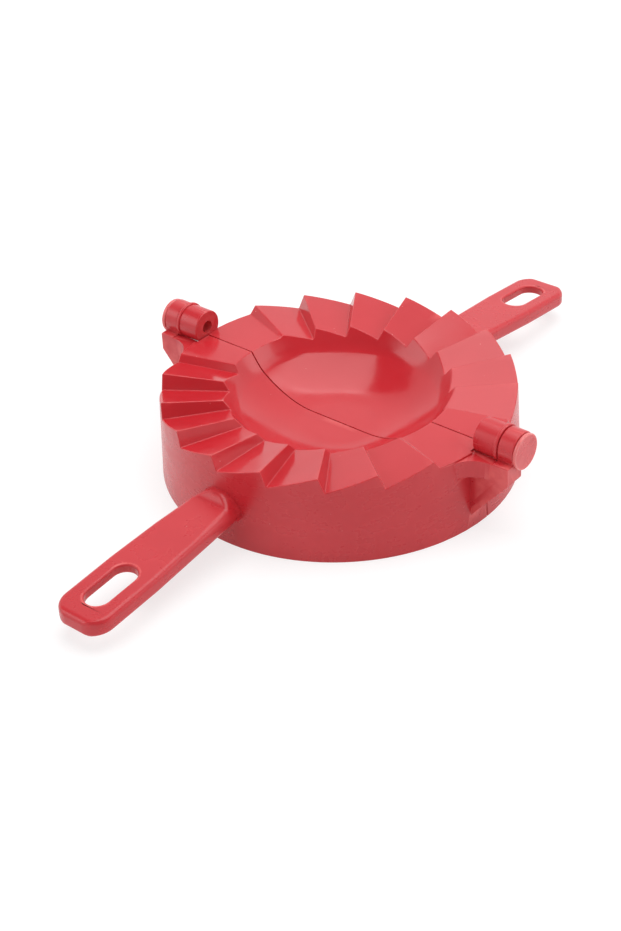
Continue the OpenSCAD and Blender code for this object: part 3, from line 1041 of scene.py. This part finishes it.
class Finish:
    """A procedural finish that is built up node by node."""

    name: str = "finish"

    def begin(self) -> None:
        """Makes the empty material with its shader."""
        self.mat = bpy.data.materials.new(self.name)
        self.mat.use_nodes = True
        self.tree = self.mat.node_tree
        self.shader = self.tree.nodes["Principled BSDF"]
        self.place = self.tree.nodes.new("ShaderNodeTexCoord").outputs["Object"]

    def link(self, out: bpy.types.NodeSocket, into: bpy.types.NodeSocket) -> None:
        """Links an output to an input."""
        self.tree.links.new(out, into)

    def noise(self, scale: float, detail: float = 2.0, rough: float = 0.5,
              stretch: tuple[float, float, float] = (1, 1, 1)) -> bpy.types.NodeSocket:
        """Adds a noise pattern in the piece's own space.

        Args:
            scale: Waves per metre.
            detail: How many finer octaves there are.
            rough: How strong these are.
            stretch: Growth of the coordinates along each axis.

        Returns:
            The pattern's value output.
        """
        node = self.tree.nodes.new("ShaderNodeTexNoise")
        node.inputs["Scale"].default_value = scale
        node.inputs["Detail"].default_value = detail
        node.inputs["Roughness"].default_value = rough
        turn = self.tree.nodes.new("ShaderNodeMapping")
        turn.inputs["Scale"].default_value = stretch
        self.link(self.place, turn.inputs["Vector"])
        self.link(turn.outputs["Vector"], node.inputs["Vector"])
        return node.outputs["Fac"]

    def spots(self, scale: float, size: float) -> bpy.types.NodeSocket:
        """Adds sparse round specks.

        Args:
            scale: Cells per metre.
            size: Radius of a speck as a share of its cell.

        Returns:
            A mask, 1 inside the specks.
        """
        node = self.tree.nodes.new("ShaderNodeTexVoronoi")
        node.inputs["Scale"].default_value = scale
        node.inputs["Randomness"].default_value = 1.0
        self.link(self.place, node.inputs["Vector"])
        return self.span(node.outputs["Distance"], size, size * 0.6, 0.0, 1.0)

    def span(self, value: bpy.types.NodeSocket, low: float, high: float, to_low: float,
             to_high: float) -> bpy.types.NodeSocket:
        """Maps a value from one span to another, with both ends held.

        Args:
            value: The value.
            low: Start of its span.
            high: End of its span.
            to_low: What the start becomes.
            to_high: What the end becomes.

        Returns:
            The mapped value.
        """
        node = self.tree.nodes.new("ShaderNodeMapRange")
        self.link(value, node.inputs["Value"])
        for name, number in (("From Min", low), ("From Max", high), ("To Min", to_low), ("To Max", to_high)):
            node.inputs[name].default_value = number
        return node.outputs["Result"]

    def both(self, first: bpy.types.NodeSocket, second: bpy.types.NodeSocket,
             way: str = "MULTIPLY") -> bpy.types.NodeSocket:
        """Joins two values by a sum.

        Args:
            first: The first value.
            second: The second value.
            way: The kind of sum.

        Returns:
            The result.
        """
        node = self.tree.nodes.new("ShaderNodeMath")
        node.operation = way
        self.link(first, node.inputs[0])
        self.link(second, node.inputs[1])
        return node.outputs[0]

    def tint(self, share: bpy.types.NodeSocket, first: bpy.types.NodeSocket | Colour,
             second: Colour) -> bpy.types.NodeSocket:
        """Mixes a second colour over a first one.

        Args:
            share: How much of the second shows.
            first: A colour, or the output that carries one.
            second: The colour laid over it.

        Returns:
            The mixed colour.
        """
        node = self.tree.nodes.new("ShaderNodeMix")
        node.data_type = "RGBA"
        self.link(share, node.inputs["Factor"])
        if isinstance(first, tuple):
            node.inputs["A"].default_value = (*first, 1)
        else:
            self.link(first, node.inputs["A"])
        node.inputs["B"].default_value = (*second, 1)
        return node.outputs["Result"]

    def outside(self, start: float, full: float) -> bpy.types.NodeSocket:
        """A mask of what lies further from the upright axis than a radius.

        Args:
            start: Radius in metres at which it begins.
            full: Radius at which it is full.

        Returns:
            The mask.
        """
        flat = self.tree.nodes.new("ShaderNodeVectorMath")
        flat.operation = "MULTIPLY"
        flat.inputs[1].default_value = (1, 1, 0)
        size = self.tree.nodes.new("ShaderNodeVectorMath")
        size.operation = "LENGTH"
        self.link(self.place, flat.inputs[0])
        self.link(flat.outputs["Vector"], size.inputs[0])
        return self.span(size.outputs["Value"], start, full, 0.0, 1.0)

    def bump(self, *layers: tuple[bpy.types.NodeSocket, float, float]) -> None:
        """Lays bumps over each other on the shader.

        Args:
            layers: Height, strength and depth in metres of each, the coarsest first.
        """
        normal = None
        for height, strength, depth in layers:
            node = self.tree.nodes.new("ShaderNodeBump")
            node.inputs["Strength"].default_value = strength
            node.inputs["Distance"].default_value = depth
            self.link(height, node.inputs["Height"])
            if normal:
                self.link(normal, node.inputs["Normal"])
            normal = node.outputs["Normal"]
        self.link(normal, self.shader.inputs["Normal"])

    def edge_highlight_mask(self, sharp: float = 0.52, full: float = 0.60) -> bpy.types.NodeSocket:
        """A mask of the convex outer edges, where a lighter colour is painted on as a highlight.

        Args:
            sharp: Pointiness at which it begins.
            full: Pointiness at which it is full.

        Returns:
            The mask.
        """
        node = self.tree.nodes.new("ShaderNodeNewGeometry")
        return self.span(node.outputs["Pointiness"], sharp, full, 0.0, 1.0)


@dataclass
class CoralPlastic(Finish):
    """Glossy coral-red moulded plastic with flow marks, specks and painted highlights along the edges."""

    name: str = "coral_plastic"
    colour: Colour = (0.61, 0.029, 0.039)
    deep: Colour = (0.56, 0.022, 0.031)
    # Lighter colour painted on the convex edges as a highlight.
    highlight_colour: Colour = (0.76, 0.12, 0.12)
    speck: Colour = (0.80, 0.36, 0.34)

    def build(self) -> bpy.types.Material:
        """Makes the material's nodes.

        Returns:
            The material.
        """
        self.begin()
        cloud = self.span(self.noise(28, 3), 0.35, 0.65, 0.0, 1.0)
        colour = self.tint(cloud, self.colour, self.deep)
        # Painted highlight: the convex edges get a lighter colour, broken up by noise. The same mask also
        # roughens these edges.
        painted_highlight = self.both(self.edge_highlight_mask(), self.span(self.noise(160, 3, 0.6), 0.35, 0.6, 0.25, 0.8))
        colour = self.tint(painted_highlight, colour, self.highlight_colour)
        dust = self.both(self.spots(260, 0.055), self.span(self.noise(60), 0.52, 0.62, 0.0, 0.8))
        colour = self.tint(dust, colour, self.speck)
        self.link(colour, self.shader.inputs["Base Color"])
        smear = self.span(self.noise(90, 4, 0.6, (1, 1, 2.5)), 0.3, 0.7, 0.11, 0.22)
        smear = self.both(smear, self.span(painted_highlight, 0, 1, 0.0, 0.12), "ADD")
        beyond = self.outside(0.0598, 0.0602)
        wall = self.both(beyond, self.outside(0.0618, 0.0622), "SUBTRACT")
        drag = self.both(self.span(self.noise(300, 2, 0.5, (1, 1, 0.04)), 0.35, 0.65, -0.012, 0.018), wall)
        drag = self.both(drag, self.span(beyond, 0, 1, 0.0, 0.12), "ADD")
        self.link(self.both(smear, drag, "ADD"), self.shader.inputs["Roughness"])
        self.shader.inputs["IOR"].default_value = 1.5
        self.shader.inputs["Subsurface Weight"].default_value = 0.12
        self.shader.inputs["Subsurface Radius"].default_value = (1.0, 0.3, 0.25)
        self.shader.inputs["Subsurface Scale"].default_value = 0.002
        self.bump((self.noise(34, 1, 0.4), 0.35, 0.0006), (self.noise(900, 2, 0.5), 0.10, 0.00002),
                  (dust, 0.4, 0.00008))
        return self.mat


@dataclass
class PinPlastic(Finish):
    """Milky, half clear pale-pink plastic of the hinge pins."""

    name: str = "pin_plastic"
    colour: Colour = (0.74, 0.10, 0.105)
    deep: Colour = (0.66, 0.06, 0.07)
    # Lighter colour painted on the pin's convex edges as a highlight.
    highlight_colour: Colour = (0.84, 0.27, 0.26)

    def build(self) -> bpy.types.Material:
        """Makes the material's nodes.

        Returns:
            The material.
        """
        self.begin()
        cloud = self.span(self.noise(170, 3), 0.35, 0.65, 0.0, 1.0)
        colour = self.tint(cloud, self.colour, self.deep)
        # Painted highlight: the pin's convex edges get a lighter colour.
        colour = self.tint(self.edge_highlight_mask(0.5, 0.56), colour, self.highlight_colour)
        self.link(colour, self.shader.inputs["Base Color"])
        self.link(self.span(self.noise(260, 3), 0.3, 0.7, 0.16, 0.32), self.shader.inputs["Roughness"])
        self.shader.inputs["IOR"].default_value = 1.5
        self.shader.inputs["Subsurface Weight"].default_value = 0.35
        self.shader.inputs["Subsurface Radius"].default_value = (1.0, 0.5, 0.45)
        self.shader.inputs["Subsurface Scale"].default_value = 0.003
        self.bump((self.noise(240, 1, 0.4), 0.3, 0.0002), (self.noise(1500, 2), 0.1, 0.00002))
        return self.mat


def dress(piece: bpy.types.Object, finish: bpy.types.Material) -> None:
    """Gives a whole piece one finish.

    Args:
        piece: The piece.
        finish: Its material.
    """
    piece.data.materials.clear()
    piece.data.materials.append(finish)
    piece.data.polygons.foreach_set("material_index", [0] * len(piece.data.polygons))


# The camera and the studio.


@dataclass(frozen=True)
class PhotoCamera:
    """The camera that was fitted to the photograph. Lengths in mm, angles in degrees."""

    lens: float = 70.12
    azimuth: float = 41.09
    elevation: float = 33.97
    roll: float = -2.87
    distance: float = 628.10
    right_off: float = 10.58
    up_off: float = 3.59

    def build(self) -> None:
        """Adds the camera and makes it the scene's own."""
        az, el, roll = (math.radians(v) for v in (self.azimuth, self.elevation, self.roll))
        back = Vector((math.sin(az) * math.cos(el), -math.cos(az) * math.cos(el), math.sin(el)))
        level = (-back).cross(Vector((0, 0, 1))).normalized()
        upright = level.cross(-back).normalized()
        right = level * math.cos(roll) + upright * math.sin(roll)
        up = upright * math.cos(roll) - level * math.sin(roll)
        place = (back * self.distance - right * self.right_off - up * self.up_off) * MM
        bpy.ops.object.camera_add()
        camera = bpy.context.object
        camera.data.lens = self.lens
        camera.data.sensor_width = 36.0
        camera.data.clip_start = 0.01
        camera.data.clip_end = 50.0
        turn = Matrix((right, up, back)).transposed().to_4x4()
        camera.matrix_world = Matrix.Translation(place) @ turn
        bpy.context.scene.camera = camera


@dataclass(frozen=True)
class Studio:
    """Pale floor, softbox, dark cards, side lamps and white surroundings. Lengths in metres."""

    floor_size: float = 8.0
    floor_tone: float = 0.9
    floor_seen: float = 0.34
    floor_glow: float = 0.70
    card_tone: float = 0.02
    day: float = 0.56
    lamp_height: float = 1.3
    lamp_middle: Point = (0.02, 0.24)
    lamp_half: Point = (0.50, 0.45)
    lamp_turn: float = 20.0
    lamp_glow: float = 2.6
    panel_middle: Point = (0.49, -0.46)
    panel_half: Point = (1.3, 1.15)
    side_way: float = 41.0
    side_far: float = 1.57
    side_height: float = 0.87
    side_size: float = 0.9
    side_glow: float = 1.6
    flag_place: tuple[float, float, float] = (0.89, -0.95, 0.3)
    flag_size: Point = (2.0, 0.5)

    def seen(self, tree: bpy.types.NodeTree) -> bpy.types.NodeSocket:
        """Tells the rays that see the background from those that only light the object.

        Args:
            tree: The material's or the world's nodes.

        Returns:
            1 for camera, glossy and transmission rays.
        """
        path = tree.nodes.new("ShaderNodeLightPath")
        value = path.outputs["Is Camera Ray"]
        for name in ("Is Glossy Ray", "Is Transmission Ray"):
            top = tree.nodes.new("ShaderNodeMath")
            top.operation = "MAXIMUM"
            tree.links.new(value, top.inputs[0])
            tree.links.new(path.outputs[name], top.inputs[1])
            value = top.outputs[0]
        return value

    def floor(self) -> None:
        """Builds the pale floor, which looks white and keeps the object's shadow."""
        deselect()
        bpy.ops.mesh.primitive_plane_add(size=self.floor_size)
        floor = bpy.context.object
        floor.name = "floor"
        mat = bpy.data.materials.new("floor")
        mat.use_nodes = True
        tree = mat.node_tree
        tree.nodes.clear()
        pale = tree.nodes.new("ShaderNodeBsdfDiffuse")
        pale.inputs["Color"].default_value = (self.floor_tone,) * 3 + (1,)
        thin = tree.nodes.new("ShaderNodeBsdfDiffuse")
        thin.inputs["Color"].default_value = (self.floor_seen,) * 3 + (1,)
        glow = tree.nodes.new("ShaderNodeEmission")
        glow.inputs["Color"].default_value = (1, 1, 1, 1)
        glow.inputs["Strength"].default_value = self.floor_glow
        lit = tree.nodes.new("ShaderNodeAddShader")
        pick = tree.nodes.new("ShaderNodeMixShader")
        out = tree.nodes.new("ShaderNodeOutputMaterial")
        tree.links.new(thin.outputs[0], lit.inputs[0])
        tree.links.new(glow.outputs[0], lit.inputs[1])
        tree.links.new(self.seen(tree), pick.inputs["Fac"])
        tree.links.new(pale.outputs[0], pick.inputs[1])
        tree.links.new(lit.outputs[0], pick.inputs[2])
        tree.links.new(pick.outputs[0], out.inputs["Surface"])
        floor.data.materials.append(mat)

    def surroundings(self) -> None:
        """Makes the world white where it is seen, and a plain soft light elsewhere."""
        world = bpy.data.worlds.new("studio")
        bpy.context.scene.world = world
        world.use_nodes = True
        tree = world.node_tree
        sky = tree.nodes["Background"]
        sky.inputs["Color"].default_value = (1, 1, 1, 1)
        level = tree.nodes.new("ShaderNodeMapRange")
        tree.links.new(self.seen(tree), level.inputs["Value"])
        level.inputs["To Min"].default_value = self.day
        level.inputs["To Max"].default_value = 1.0
        tree.links.new(level.outputs["Result"], sky.inputs["Strength"])

    def softbox(self) -> None:
        """Hangs the large softbox over the press."""
        deselect()
        bpy.ops.object.light_add(type="AREA")
        lamp = bpy.context.object
        lamp.name = "softbox"
        lamp.data.shape = "RECTANGLE"
        lamp.data.size, lamp.data.size_y = (2 * v * self.lamp_height for v in self.lamp_half)
        lamp.data.energy = self.lamp_glow * math.pi * lamp.data.size * lamp.data.size_y
        lamp.location = (*(v * self.lamp_height for v in self.lamp_middle), self.lamp_height)
        lamp.rotation_euler.z = math.radians(self.lamp_turn)

    def side_lamps(self) -> None:
        """Sets a soft lamp at each side of the camera's view."""
        turn = math.radians(self.side_way)
        for sign in (-1, 1):
            deselect()
            bpy.ops.object.light_add(type="AREA")
            lamp = bpy.context.object
            lamp.name = "side_lamp"
            lamp.data.shape = "SQUARE"
            lamp.data.size = self.side_size
            lamp.data.energy = self.side_glow * math.pi * self.side_size ** 2
            side = sign * self.side_far
            lamp.location = (side * math.cos(turn), side * math.sin(turn), self.side_height)
            lamp.rotation_euler = (-lamp.location).to_track_quat("-Z", "Y").to_euler()

    def dark_card(self, name: str, size: Point, place: Vector, turn: Sequence[float]) -> None:
        """Hangs a dark card that only the gloss of the plastic shows.

        Args:
            name: The card's name.
            size: Its two sides.
            place: Its middle.
            turn: Its turn about the three axes in radians.
        """
        deselect()
        bpy.ops.mesh.primitive_plane_add(size=1)
        card = bpy.context.object
        card.name = name
        card.scale = (*size, 1)
        card.rotation_euler = turn
        card.location = place
        set_place(card)
        mat = bpy.data.materials.new(name)
        mat.use_nodes = True
        shader = mat.node_tree.nodes["Principled BSDF"]
        shader.inputs["Base Color"].default_value = (self.card_tone,) * 3 + (1,)
        card.data.materials.append(mat)
        card.visible_camera = card.visible_diffuse = card.visible_shadow = False

    def cards(self) -> None:
        """Hangs the dark ceiling panel over the softbox and the low dark flag on the camera's side."""
        height = self.lamp_height * 1.02
        middle = Vector((*(v * height for v in self.panel_middle), height))
        turn = (0, 0, math.radians(self.lamp_turn))
        self.dark_card("ceiling_panel", tuple(2 * v * height for v in self.panel_half), middle, turn)
        place = Vector(self.flag_place)
        self.dark_card("front_flag", self.flag_size, place, (-place).to_track_quat("Z", "Y").to_euler())

    def build(self) -> None:
        """Builds the floor, the lamps, the dark cards and the world."""
        self.floor()
        self.surroundings()
        self.softbox()
        self.side_lamps()
        self.cards()
        bpy.context.scene.view_settings.view_transform = "Standard"


def main() -> None:
    """Builds the press, dresses it, and sets up the studio."""
    logging.basicConfig(level=logging.INFO, format="%(name)s: %(message)s")
    coral, pale = CoralPlastic().build(), PinPlastic().build()
    for half in Half:
        dress(Moulding(half).build(), coral)
    for end in End:
        dress(HingePin(end).build(), pale)
    Studio().build()
    PhotoCamera().build()
    deselect()


if __name__ == "__main__":
    main()
